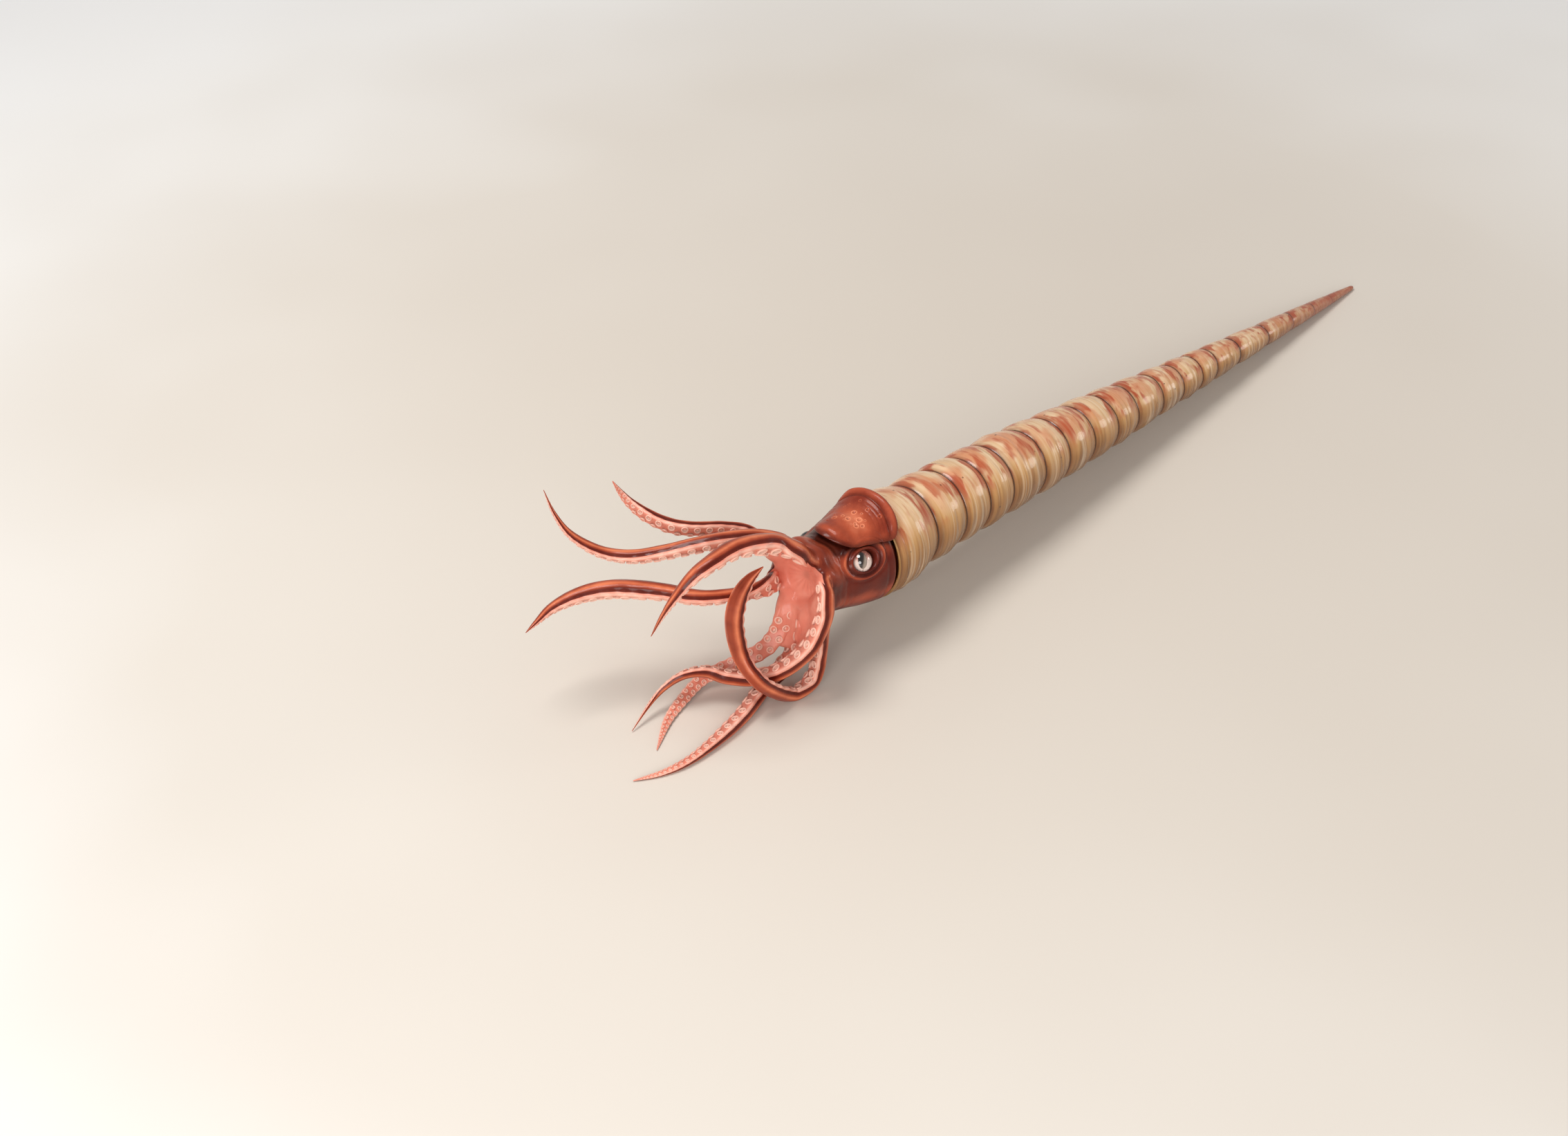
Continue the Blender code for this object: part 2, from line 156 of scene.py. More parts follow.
# Each arm: its angle on the crown in degrees, its half widths at the stations before the tip, the point
# that its suckers look towards past the crown, and the points that its middle line passes through.
ARMS = {
    "arm_left_1": (22.5, (3.3, 4, 3.8, 3.1, 1.9, 1, 0.5), (-60, -75, -35), (
        (-37, -3, 47.5), (-42, -0.5, 51), (-49, 1, 54), (-57, 2, 56), (-65, 2, 56), (-71.5, 3.5, 53.5),
        (-76.5, 5.5, 48), (-79, 8.5, 41), (-81, 11, 34),
    )),
    "arm_left_2": (67.5, (3.1, 3.2, 3.2, 3, 1.7, 0.9, 0.4), (-45, 28, 62), (
        (-35.5, -14, 35.5), (-37, -15, 31), (-39, -14.5, 26), (-42, -13.5, 20.5), (-45.5, -10, 14.5),
        (-48.5, -5.5, 10), (-52.5, 0, 7.5), (-58, 5, 8.5), (-62, 9, 10.5), (-67.5, 12, 11),
        (-72.5, 14.5, 8.5), (-78, 15.5, 5), (-87.5, 14, 0.5),
    )),
    "arm_left_3": (112.5, (3.2, 2.9, 2.8, 2.4, 2.9, 2.8, 1.5), (-38, 3, 19), (
        (-34, -11, 24.5), (-33.5, -10, 18), (-34, -10, 12.5), (-34.5, -10, 7.5), (-36.5, -10, 3.4),
        (-41, -10, 1.9), (-45.5, -9, 2.1), (-53, -9, 8.5), (-58, -7.5, 15), (-58.5, -2.5, 20),
        (-58, 0.5, 26), (-57.5, 1.5, 32.5), (-55.5, 1.5, 38.5), (-53, 0, 44), (-50, -3, 49),
    )),
    "arm_left_4": (157.5, (3.3, 3.1, 2.9, 2.6, 1.7, 1.1, 0.6), (-300, 60, 160), (
        (-34, -4, 19), (-35, -3, 12.5), (-39.5, -2.5, 7), (-48, -1.5, 2.8), (-60.5, -5, 1.8),
        (-72.5, -7, 1.5), (-84.5, -7.5, 1.1), (-93.5, -5.5, 0.7), (-101.5, -1.5, 0.4),
    )),
    "arm_right_1": (-22.5, (3, 3.2, 2.9, 2.7, 2.1, 1.1, 0.5), (-150, -60, -40), (
        (-35.5, 5.5, 46), (-42, 9.5, 48.5), (-49.5, 14, 49), (-55.5, 18, 48.5), (-62.5, 23.5, 47),
        (-68.5, 29.5, 45.5), (-73, 35.5, 45.5), (-77, 40, 48), (-80.5, 45, 52.5), (-82, 49, 58.5),
        (-82.5, 52, 65),
    )),
    "arm_right_2": (-67.5, (2.9, 2.5, 2.4, 2.6, 2.3, 1.3, 0.6), (-150, -60, 0), (
        (-34.5, 11.5, 41), (-36, 17.5, 43), (-41.5, 22, 45), (-48.5, 27, 46), (-53, 32, 47),
        (-55.5, 38.5, 48.5), (-57.5, 43.5, 51.5), (-59, 46, 55), (-61, 47, 59.5),
    )),
    "arm_right_3": (-112.5, (3.1, 2.7, 3.1, 3.7, 3.4, 2.2, 1), (-100, -60, -90), (
        (-39, 5.5, 31.5), (-46, 5.5, 33), (-54, 8, 34.5), (-61, 12.5, 35.5), (-66.5, 21, 36),
        (-72, 28.5, 36), (-77.5, 34, 36), (-84, 38.5, 35), (-91, 41.5, 33), (-96.5, 42, 31),
        (-101.5, 41.5, 30),
    )),
    "arm_right_4": (-157.5, (3.1, 2.6, 2.1, 1.9, 1.6, 1.1, 0.5), (-250, -200, 250), (
        (-35.5, 2.5, 21), (-38, 2.5, 15.5), (-42.5, 3.5, 11), (-48, 7, 7.5), (-53.5, 11, 5),
        (-59.5, 14, 2.6), (-68.5, 12.5, 1.5), (-77.5, 9.5, 0.9), (-88, 3, 0.4),
    )),
}

# Camera: its place in millimetres before ORIGIN is taken off, and the ways it looks
CAMERA_PLACE = np.array((-395.7, -343.4, 425.7))
CAMERA_AZIMUTH, CAMERA_ELEVATION = radians(-46.133), radians(37.864)
LENS, SENSOR, CLIP_END = 50, 36, 20

# Stage
FLOOR_SIZE = 8.0
LIGHT_AIM = Vector((0.0, 0.0, 0.02))
LIGHTS = {  # (place, width of the disc, power, colour)
    "key": ((-0.3, 0.2, 0.9), 0.45, 5.6, (1.0, 0.99, 0.975)),
    "fill": ((-0.8, -0.45, 0.35), 0.5, 4.0, (1.0, 0.99, 0.98)),
    "rim": ((0.75, -0.55, 0.25), 0.3, 1.2, (1.0, 0.98, 0.95)),
}
SKY_COLOUR, SKY_STRENGTH = (1.0, 0.99, 0.98, 1), 0.38


# ---- numbers and places ----

def ease(x):
    x = clip(x, 0.0, 1.0)
    return x * x * (3 - 2 * x)


def bell(x, width):
    return np.exp(-((x / width) ** 2))


def turn_of(sides):
    """The angles of a ring of points."""
    return np.arange(sides) * 2 * pi / sides


def wrapped(angle):
    """The same angle, between half a turn back and half a turn on."""
    return (angle + pi) % (2 * pi) - pi


def smooth_least(a, b, soft):
    """The lesser of two distances, rounded over where they meet."""
    share = clip(0.5 + 0.5 * (b - a) / soft, 0, 1)
    return b + (a - b) * share - soft * share * (1 - share)


def smooth_table(table, at, width):
    """A table's value, its corners rounded over about the given width."""
    places, values = np.array(table, float).T
    taps = np.linspace(-1.5, 1.5, 7)
    weights = np.exp(-taps**2)
    at = np.asarray(at, float)
    total = sum(w * np.interp(at + tap * width, places, values) for tap, w in zip(taps, weights))
    return total / weights.sum()


def between(at, places, rows):
    """The rows' points, read at some places along them."""
    return stack([np.interp(at, places, column) for column in rows.T], -1)


def on_body(forward, angle, radius):
    """Points on the body: in front of the opening, round from the top to the left, out from the axis."""
    forward, angle, radius = np.broadcast_arrays(forward, angle, radius)
    out = cos(angle)[..., None] * UP + sin(angle)[..., None] * LEFT
    return OPENING + forward[..., None] * FORWARD + radius[..., None] * out


def drop_at(forward):
    return smooth_table(DROP, forward, 1.5)


def on_middle(forward, angle, radius):
    """The same, round the middle line."""
    return on_body(forward, angle, radius) - np.asarray(drop_at(forward))[..., None] * UP


def body_places(points):
    """(forward, left, up) of points in millimetres."""
    away = points - OPENING
    return away @ FORWARD, away @ LEFT, away @ UP


def unit(vectors):
    return vectors / np.linalg.norm(vectors, axis=-1, keepdims=True)


def ripple(*places, seed=0):
    """Smooth irregular waves of about -1 to 1, from places measured in units of the wave's size."""
    rng = np.random.default_rng(seed)
    total = 0.0
    for _ in range(6):
        turn = rng.normal(size=len(places)) * 1.6
        total += sin(sum(t * p for t, p in zip(turn, places)) + rng.uniform(0, 6.3))
    return total / 3.0


# ---- meshes ----

def turned_faces(rows, sides, first=0):
    """Faces of rows of sides points, closed round each row, and by one point before and one after."""
    row = np.arange(rows - 1)[:, None] * sides
    side = np.arange(sides)[None]
    after = (side + 1) % sides
    quads = stack([row + side, row + after, row + sides + after, row + sides + side], -1)
    faces = (quads.reshape(-1, 4) + first + 1).tolist()
    last = first + 1 + (rows - 1) * sides
    for i in range(sides):
        j = (i + 1) % sides
        faces.append([first, first + 1 + j, first + 1 + i])
        faces.append([last + sides, last + i, last + j])
    return faces


def capped(ends, rows):
    """The points of a closed grid: one end, its rows and the other end."""
    return concatenate([ends[:1], rows.reshape(-1, 3), ends[1:]])


def make_object(name, points, faces, values, finish, node):
    """The piece that replaces a node, with values held at its points for its material to read."""
    mesh = bpy.data.meshes.new(name)
    inside = clip((points - ORIGIN) * METRES, *np.array(CAD_BOX))
    mesh.from_pydata(inside.tolist(), [], faces)
    for label, value in values.items():
        value = np.asarray(value, np.float32)
        kind = "FLOAT_VECTOR" if value.ndim == 2 else "FLOAT"
        layer = mesh.attributes.new(label, kind, "POINT")
        layer.data.foreach_set("vector" if value.ndim == 2 else "value", value.ravel())
    mesh.shade_smooth()
    mesh.materials.append(finish)
    made = bpy.data.objects.new(name, mesh)
    bpy.context.scene.collection.objects.link(made)
    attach(made, "root")
    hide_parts(node)


# ---- materials ----

class Finish:
    """Builds one procedural material."""

    def __init__(self, name, **settings):
        self.material = bpy.data.materials.new(name)
        self.material.use_nodes = True
        self.tree = self.material.node_tree
        self.shader = self.tree.nodes["Principled BSDF"]
        self.done(**settings)

    def node(self, kind, inputs=(), **settings):
        made = self.tree.nodes.new("ShaderNode" + kind)
        for label, value in settings.items():
            setattr(made, label, value)
        for label, value in dict(inputs).items():
            self.feed(made.inputs[label], value)
        return made

    def feed(self, socket, value):
        if isinstance(value, bpy.types.NodeSocket):
            self.tree.links.new(value, socket)
        else:
            socket.default_value = value

    def value(self, label, kind="Fac"):
        return self.node("Attribute", attribute_name=label).outputs[kind]

    def place(self):
        return self.node("TexCoord").outputs["Object"]

    def stretched(self, vector, scale):
        return self.node("Mapping", {"Vector": vector, "Scale": scale}).outputs["Vector"]

    def streaks(self, vector, along, round_it, roughness, distortion=0.0):
        """Noise on a turned surface, by its waves along the axis and round it."""
        vector = self.stretched(vector, (along, round_it, round_it))
        return self.noise(vector, 1.0, 2.0, roughness, distortion)

    def noise(self, vector, scale, detail=3.0, roughness=0.55, distortion=0.0):
        inputs = dict(Vector=vector, Scale=scale, Detail=detail, Roughness=roughness, Distortion=distortion)
        return self.node("TexNoise", inputs).outputs["Fac"]

    def cells(self, vector, scale):
        return self.node("TexVoronoi", {"Vector": vector, "Scale": scale}).outputs["Distance"]

    def math(self, operation, a, b=0.0):
        return self.node("Math", {0: a, 1: b}, operation=operation).outputs[0]

    def tint(self, share, strength, under, colour):
        """The colour under it, tinted by a share of the given strength."""
        return self.mix(self.math("MULTIPLY", share, strength), under, colour)

    def span(self, value, low, high, to_low=0.0, to_high=1.0):
        """The value carried smoothly from low..high to to_low..to_high."""
        inputs = {"Value": value, "From Min": low, "From Max": high, "To Min": to_low, "To Max": to_high}
        return self.node("MapRange", inputs, interpolation_type="SMOOTHSTEP").outputs["Result"]

    def ramp(self, value, stops):
        made = self.node("ValToRGB", {"Fac": value})
        elements = made.color_ramp.elements
        while len(elements) < len(stops):
            elements.new(0.5)
        for element, (place, colour) in zip(elements, stops):
            element.position = place
            element.color = (*linear(colour), 1)
        return made.outputs["Color"]

    def mix(self, share, a, b):
        made = self.node("Mix", data_type="RGBA")
        self.feed(made.inputs["Factor"], share)
        for socket, colour in ((made.inputs[6], a), (made.inputs[7], b)):
            plain = isinstance(colour, tuple)
            self.feed(socket, (*linear(colour), 1) if plain else colour)
        return made.outputs[2]

    def bump(self, height, distance, strength, under=None):
        inputs = {"Height": height, "Distance": distance, "Strength": strength}
        if under is not None:
            inputs["Normal"] = under
        return self.node("Bump", inputs).outputs["Normal"]

    def done(self, **inputs):
        for label, value in inputs.items():
            self.feed(self.shader.inputs[label.replace("_", " ")], value)
        return self.material


def linear(colour):
    """A colour given as 0 to 255, as light."""
    shares = [channel / 255 for channel in colour]
    return tuple(s / 12.92 if s <= 0.04045 else ((s + 0.055) / 1.055) ** 2.4 for s in shares)


def shell_finish():
    """Cream and gold shell with painted shade, ochre below and deepest in the grooves, streaked round its
    rings and stained rust-red beside the grooves.
    """
    f = Finish("shell", Roughness=0.3, Coat_Weight=0.35, Coat_Roughness=0.08, Specular_IOR_Level=0.35)
    turn = f.value("turn", "Vector")
    near, tipward, upper, share = (f.value(name) for name in ("near_groove", "tipward", "upper", "share"))
    streaks = f.streaks(turn, 0.7, 0.4, 0.45)
    lines = f.streaks(turn, 1.0, 0.4, 0.35)
    broad = f.streaks(turn, 0.12, 1.1, 0.5)
    patches = f.streaks(turn, 0.35, 1.3, 0.5, 0.2)
    # Painted shade and light: ochre below, gold on the flank and cream on top, varied by streaks.
    level = f.math("ADD", f.span(upper, -0.75, 0.85), f.span(streaks, 0.3, 0.7, -0.16, 0.16))
    body = f.ramp(level, (
        (0.0, (130, 86, 44)), (0.28, (170, 120, 68)), (0.6, (202, 154, 98)), (1.0, (226, 190, 150)),
    ))
    pale = f.math("MULTIPLY", f.span(lines, 0.48, 0.72), f.span(near, 0.95, 0.4))
    body = f.tint(pale, 0.32, body, (248, 230, 202))
    blush = f.math("MULTIPLY", f.span(broad, 0.42, 0.62), f.span(upper, 0.0, 0.8))
    body = f.tint(blush, 0.7, body, (206, 124, 82))
    # Stain beside the grooves, in streaks that fade down the flank.
    reach = f.math("ADD", f.span(near, 0.1, 0.95), f.math("MULTIPLY", tipward, 0.25))
    reach = f.math("ADD", reach, f.span(patches, 0.34, 0.66, -0.75, 0.85))
    stain = f.math("MULTIPLY", f.span(reach, 0.3, 1.2), f.span(upper, -0.25, 0.5))
    stain = f.math("MULTIPLY", stain, f.span(lines, 0.3, 0.7, 1.0, 0.65))
    body = f.mix(stain, body, (176, 78, 44))
    # Painted shade deepens towards each groove, partly also a brown stain, and a painted line of deep shade
    # runs in the groove itself.
    body = f.tint(f.span(near, 0.7, 1.0), 0.45, body, (116, 60, 34))
    body = f.tint(f.span(near, 0.93, 1.0), 0.92, body, (46, 20, 12))
    tip = f.math("MULTIPLY", f.span(share, 0.7, 0.95), f.span(broad, 0.2, 0.6, 0.6, 1.0))
    body = f.tint(tip, 0.8, body, (164, 88, 66))
    specks = f.span(f.cells(f.stretched(turn, (0.2, 2.4, 2.4)), 1.0), 0.085, 0.05)
    body = f.tint(specks, 0.75, body, (84, 52, 32))
    body = f.mix(f.value("inside"), body, (222, 198, 168))
    relief = f.bump(f.streaks(turn, 3.0, 0.6, 0.5), 0.00018, 0.2)
    return f.done(Base_Color=body, Roughness=f.span(streaks, 0.2, 0.8, 0.22, 0.36), Normal=relief)


def skin_finish(name, brown):
    """Wet skin, red-brown outside and salmon-pink on the mouth side, from the value pink, with painted shade
    and painted light from two more values.
    """
    f = Finish(name, Coat_Weight=0.2, Coat_Roughness=0.08, Specular_IOR_Level=0.14)
    place = f.place()
    broad = f.noise(place, 150.0)
    fine = f.noise(place, 1300.0, 4.0, 0.6)
    pores = f.cells(place, 1900.0)
    pink, painted_shade, lit = f.value("pink"), f.value("painted_shade"), f.value("lit")
    # Painted light from the value lit sets how light the skin is, varied by a random mottle.
    painted_light_and_mottle = f.math("ADD", lit, f.span(broad, 0.3, 0.7, -0.08, 0.08))
    outside, inside = f.ramp(painted_light_and_mottle, brown), f.ramp(painted_light_and_mottle, PINK)
    edge = f.math("ADD", pink, f.span(broad, 0.3, 0.7, -0.02, 0.02))
    colour = f.mix(f.span(edge, 0.47, 0.53), outside, inside)
    # A thin dark line runs where the two colours meet.
    meet = f.math("MULTIPLY", f.span(edge, 0.4, 0.47), f.span(edge, 0.58, 0.51))
    colour = f.tint(meet, 0.75, colour, (52, 10, 7))
    colour = f.mix(f.span(fine, 0.6, 0.85, 0.0, 0.1), colour, (236, 150, 120))
    # Painted shade in creases, hollows and under overhanging edges.
    colour = f.tint(painted_shade, 0.94, colour, (44, 9, 6))
    relief = f.bump(pores, 0.00005, 0.35, f.bump(fine, 0.0001, 0.45))
    return f.done(Base_Color=colour, Roughness=f.span(broad, 0.3, 0.7, 0.3, 0.42), Normal=relief)


def eye_finish():
    """A pale eyeball with an upright slit, black on its left and grey to its right as a painted reflection,
    under a clear wet film; a painted shadow of the upper lid makes the white darker towards its top.
    """
    f = Finish("eye", Roughness=0.12, Coat_Weight=1.0, Coat_Roughness=0.03)
    across, along = f.value("slit_across"), f.value("slit_along")
    cloud = f.noise(f.place(), 900.0, 3.0, 0.6)
    # The white, made darker towards its top by a painted shadow of the upper lid.
    white = f.ramp(f.math("ADD", f.span(along, -1.0, 0.9), f.span(cloud, 0.3, 0.7, -0.1, 0.1)), (
        (0.0, (236, 214, 204)), (0.45, (224, 198, 186)), (0.8, (186, 132, 118)), (1.0, (120, 66, 54)),
    ))
    reach = f.math("SQRT", f.math("MAXIMUM", f.math("SUBTRACT", 1.0, f.math("MULTIPLY", along, along)), 0.0))
    width = f.math("MULTIPLY", reach, 0.48)
    within = f.math("SUBTRACT", width, f.math("ABSOLUTE", across))
    # The slit is black on its left and greys to its right as a painted reflection.
    pupil_and_reflection = f.ramp(f.span(f.math("ADD", across, f.math("MULTIPLY", along, -0.25)), -0.25, 0.35), (
        (0.0, (14, 5, 3)), (0.5, (40, 26, 20)), (0.75, (112, 96, 84)), (1.0, (150, 134, 120)),
    ))
    colour = f.mix(f.span(within, -0.02, 0.03), white, pupil_and_reflection)
    rim = f.math("MULTIPLY", f.span(within, -0.09, 0.0), f.span(within, 0.03, 0.0))
    return f.done(Base_Color=f.tint(rim, 0.7, colour, (70, 34, 26)))


def floor_finish():
    """Pale paper-like floor, beige round the middle and white farther out."""
    f = Finish("floor", Roughness=0.7, Specular_IOR_Level=0.1)
    away = f.node("VectorMath", {0: f.place()}, operation="LENGTH").outputs["Value"]
    away = f.math("ADD", away, f.span(f.noise(f.place(), 5.0, 2.0), 0.3, 0.7, -0.03, 0.03))
    return f.done(Base_Color=f.ramp(f.span(away, 0.06, 0.62), (
        (0.0, (216, 206, 194)), (0.35, (226, 218, 208)), (0.75, (246, 243, 239)), (1.0, (252, 251, 250)),
    )))


# Each ramp runs from painted shade to painted light on one skin's colour.
BROWN = ((0.0, (78, 20, 13)), (0.3, (108, 36, 22)), (0.65, (166, 72, 46)), (1.0, (226, 128, 88)))
HOOD_BROWN = ((0.0, (70, 14, 9)), (0.3, (120, 40, 24)), (0.65, (176, 80, 52)), (1.0, (226, 134, 98)))
PINK = ((0.0, (168, 76, 58)), (0.3, (206, 104, 84)), (0.65, (228, 142, 120)), (1.0, (248, 198, 178)))
SHELL = shell_finish()
SKIN = skin_finish("skin", BROWN)
HOOD_SKIN = skin_finish("hood_skin", HOOD_BROWN)
ARM_SKIN = skin_finish("arm_skin", BROWN)
EYE = eye_finish()


# ---- shell ----

def shell_stations():
    """Down the shell to its tip: (share of the length, part of its ring, number of the ring)."""
    cone = SHELL_LENGTH - TIP_RADIUS
    edges = (-LIP / cone, *GROOVES, 1.0)
    stations = []
    for number, (start, end) in enumerate(zip(edges, edges[1:])):
        count = max(14, round((end - start) * cone / 0.5))
        part = np.arange(count) / count
        part = part - 0.6 * sin(2 * pi * part) / (2 * pi)
        stations.append(stack([start + (end - start) * part, part, np.full(count, float(number))], 1))
    return concatenate(stations)[:-2]


def shell_radius(share, part, number, angle):
    """The shell's outside: beads between sharp grooves, each with a few folds of its own part way round."""
    x, y = cos(angle), sin(angle)
    radius = smooth_table(SHELL_OUTLINE, share, 0.012)
    swell = clip(1 - np.abs(2 * part**0.93 - 1) ** 2.2, 0, 1) ** 0.72
    depth = RING_DEPTH * (1 - 0.7 * ease((share - 0.74) / 0.16))
    radius = radius * (1 + RING_RISE - depth * (1 - swell))
    rng = np.random.default_rng(7)
    folds = 0.0
    for ring in range(len(GROOVES) + 1):
        for _ in range(RING_FOLDS):
            place, width = rng.uniform(0.2, 0.8), rng.uniform(0.35, 1.0)
            middle = rng.uniform(-pi, pi)
            around = wrapped(angle - middle)
            gap = part - place - 0.05 * sin(around * 1.5 + ring)
            window = bell(around, width) * (number == ring)
            folds += window * (0.022 * bell(gap + 0.03, 0.035) - 0.03 * bell(gap - 0.02, 0.022))
    lump = 0.006 * ripple(share * 40, x * 2, y * 2, seed=8)
    small = ease((1 - share) / 0.25)
    tip = clip((1 - share) * (SHELL_LENGTH - TIP_RADIUS) / 2.4, 0, 1)
    return radius * (1 + (folds + lump) * small) * np.sqrt(1 - (1 - tip) ** 2)


def make_shell():
    share, part, number = [column[:, None] for column in shell_stations()[::-1].T]
    angle = turn_of(SHELL_SIDES)[None]
    sway = 0.3 * ripple(share * 30, cos(angle) * 1.2, sin(angle) * 1.2, seed=4)
    sway = sway * ease((1 - share) / 0.1)
    forward = -SHELL_LENGTH * share + sway * (part > 0)
    outside = on_middle(forward, angle, shell_radius(share, part, number, angle))
    inner = [on_middle(np.full(SHELL_SIDES, LIP - back), angle[0], radius) for back, radius in SHELL_INSIDE]
    rows = concatenate([outside, inner])
    ends = on_middle(np.array((-SHELL_LENGTH, LIP - SHELL_INSIDE[-1][0])), 0.0, 0.0)
    points = capped(ends, rows)

    inside = np.linspace(0, 1, len(inner)) ** 0.5

    def held(outer, rows=inside * 0, first=0.0, last=0.0):
        """A value at every point: the outside's, the inside's rows' and the two ends'."""
        outer = np.broadcast_to(outer, (len(share), SHELL_SIDES)).ravel()
        return concatenate([[first], outer, np.repeat(rows, SHELL_SIDES), [last]])

    forward, left, up = body_places(points)
    out = np.maximum(hypot(left, up), 1e-6)
    values = {
        "near_groove": held(np.abs(2 * part - 1)),
        "tipward": held(-sin(2 * pi * part)),
        "share": held(share, first=1.0),
        "inside": held(0.0, inside, last=1.0),
        "upper": held(cos(angle + 0.45)),
        "turn": stack([forward, left / out, up / out], 1),
    }
    faces = turned_faces(len(rows), SHELL_SIDES)
    make_object("shell_surface", points, faces, values, SHELL, "shell")


# ---- arms ----

def curve_through(points, count):
    """Points on a smooth line through the given ones, leaving straight forward, closer towards its end."""
    leave = FORWARD * 2 * np.linalg.norm(points[1] - points[0])
    ends = [points[1] - leave, *points, points[-1] * 2 - points[-2]]
    fine = []
    for a, b, c, d in zip(ends, ends[1:], ends[2:], ends[3:]):
        t = np.arange(40)[:, None] / 40
        fine.append(0.5 * (2 * b + (c - a) * t + (2 * a - 5 * b + 4 * c - d) * t**2
                           + (3 * b - a - 3 * c + d) * t**3))
    fine = concatenate([*fine, points[-1:]])
    for _ in range(30):
        fine[1:-1] = (fine[:-2] + 2 * fine[1:-1] + fine[2:]) / 4
    travelled = concatenate([[0], np.cumsum(np.linalg.norm(np.diff(fine, axis=0), axis=1))])
    share = 1 - (1 - np.arange(count) / (count - 1)) ** 1.15
    return share, between(share * travelled[-1], travelled, fine), travelled[-1]


class Arm:
    """An arm's middle line, and the ways along it, across it and away from its mouth side."""

    def __init__(self, degrees, half_widths, look_at, route, rolls):
        angle = radians(degrees)
        root = on_body(ARM_START, angle, ARM_RING_RADIUS)
        inward = unit(on_body(ARM_START, angle, 0.0) - root)
        self.share, self.line, self.length = curve_through(np.array([root, *route], float), ARM_ROWS)
        along = np.gradient(self.line, axis=0)
        along[0] = FORWARD
        self.along = unit(along)
        turned = ease(self.share / 0.3)[:, None]
        mouthward = inward * (1 - turned) + unit(np.array(look_at, float) - self.line) * turned
        mouthward -= self.along * (mouthward * self.along).sum(1, keepdims=True)
        away = -unit(mouthward)
        roll = np.radians(smooth_table(rolls, self.share, 0.05))[:, None]
        self.away = away * cos(roll) + np.cross(self.along, away) * sin(roll)
        self.across = np.cross(self.along, -self.away)
        widths = tuple(zip(ARM_STATIONS, (*half_widths, ARM_TIP)))
        self.half = smooth_table(widths, self.share, 0.05 * ease((1 - self.share) / 0.12))

    def at(self, share):
        """(middle, along, across, away, half width) at one share of its length."""
        ways = [unit(between(share, self.share, rows)) for rows in (self.along, self.across, self.away)]
        return between(share, self.share, self.line), *ways, np.interp(share, self.share, self.half)


def arm_section():
    """The section's points as (angle, across, away from the mouth side), for half width 1."""
    turn = turn_of(ARM_SIDES)
    x, y = cos(turn), sin(turn)
    power = np.where(y > 0, 2 / 2.1, 2 / 3.0)
    across = np.sign(x) * np.abs(x) ** power
    away = np.sign(y) * np.abs(y) ** power * np.where(y > 0, 0.8, 0.6)
    hollow = np.where(y < 0, 0.1 * clip(1 - (across / 0.75) ** 2, 0, 1), 0.0)
    return turn, across, away + hollow


def sucker_places(arm):
    """(share, row, radius) of each sucker: two rows, each sucker a step from the last."""
    places = []
    share, count = FIRST_SUCKER / arm.length, 0
    while share < 0.98:
        half = np.interp(share, arm.share, arm.half)
        places.append((share, 1 if count % 2 else -1, 0.42 * half + 0.03))
        share += (0.66 * half + 0.12) / arm.length
        count += 1
    return places


def brown_light(side):
    """How much painted light an arm's brown gets: lower at its boundary, partly the skin's own darker shading
    and partly painted shade, with a painted highlight stripe before its back.
    """
    stripe = 0.32 * bell(side - 0.68, 0.16) - 0.14 * bell(side - 1.0, 0.06)
    return 0.12 + 0.5 * ease((side - 0.1) / 0.35) + stripe


def arm_swell(arm, turn, suckers):
    """How much larger than plain an arm's section is. The edge beside each sucker bulges out."""
    x, y = cos(turn), sin(turn)
    bulge = {-1: np.zeros(ARM_ROWS), 1: np.zeros(ARM_ROWS)}
    for share, row, radius in suckers:
        bulge[row] = np.maximum(bulge[row], bell((arm.share - share) * arm.length, radius * 0.95))
    mouthward = clip(-y * 1.6 + 0.25, 0, 1)
    right, left = clip(x, 0, 1) * mouthward, clip(-x, 0, 1) * mouthward
    frill = (bulge[1][:, None] * right + bulge[-1][:, None] * left) * 0.17
    crease = bell(y - 0.1, 0.13) * 0.05
    ridges = 0.012 * sin(turn * 11) * clip(y, 0, 1)
    wave = 0.02 * ripple(arm.share[:, None] * 22, x[None] * 1.5, y[None] * 1.5, seed=3)
    return 1 + frill - crease + ridges + wave


def arm_colours(name, arm, turn):
    """How pink each point of an arm's rows is, and how much painted light it gets."""
    webbed = WEBBED_PINK if name in WEBBED else 0.0
    side = sin(turn)[None] - webbed * bell(arm.share[:, None] * arm.length, WEBBED_REACH)
    pink = clip(0.5 - (side + BOUNDARY) * 2.4, 0, 1)
    wander = 0.08 * ripple(arm.share[:, None] * 9, seed=17)
    # Painted light: on the brown as brown_light gives it, and a painted highlight along the pink face.
    lit = np.where(side + BOUNDARY > 0, brown_light(side + wander), 0.6 + 0.3 * bell(side + 0.45, 0.25))
    return pink, lit


def sucker_cup(arm, share, row, radius):
    """The points of one sucker."""
    middle, along, sideways, outward, half = arm.at(share)
    seat = middle + sideways * row * 0.5 * half - outward * 0.5 * half
    lean = unit(-outward + sideways * row * 0.32)
    around = turn_of(SUCKER_SIDES)[:, None]
    ring = cos(around) * along + sin(around) * unit(np.cross(lean, along))
    cup = [seat - lean * radius * 0.5]
    for out, height in SUCKER_PROFILE:
        cup.extend(seat + (ring * out + lean * height * 0.8) * radius)
    cup.append(seat + lean * radius * 0.24)
    return np.array(cup)


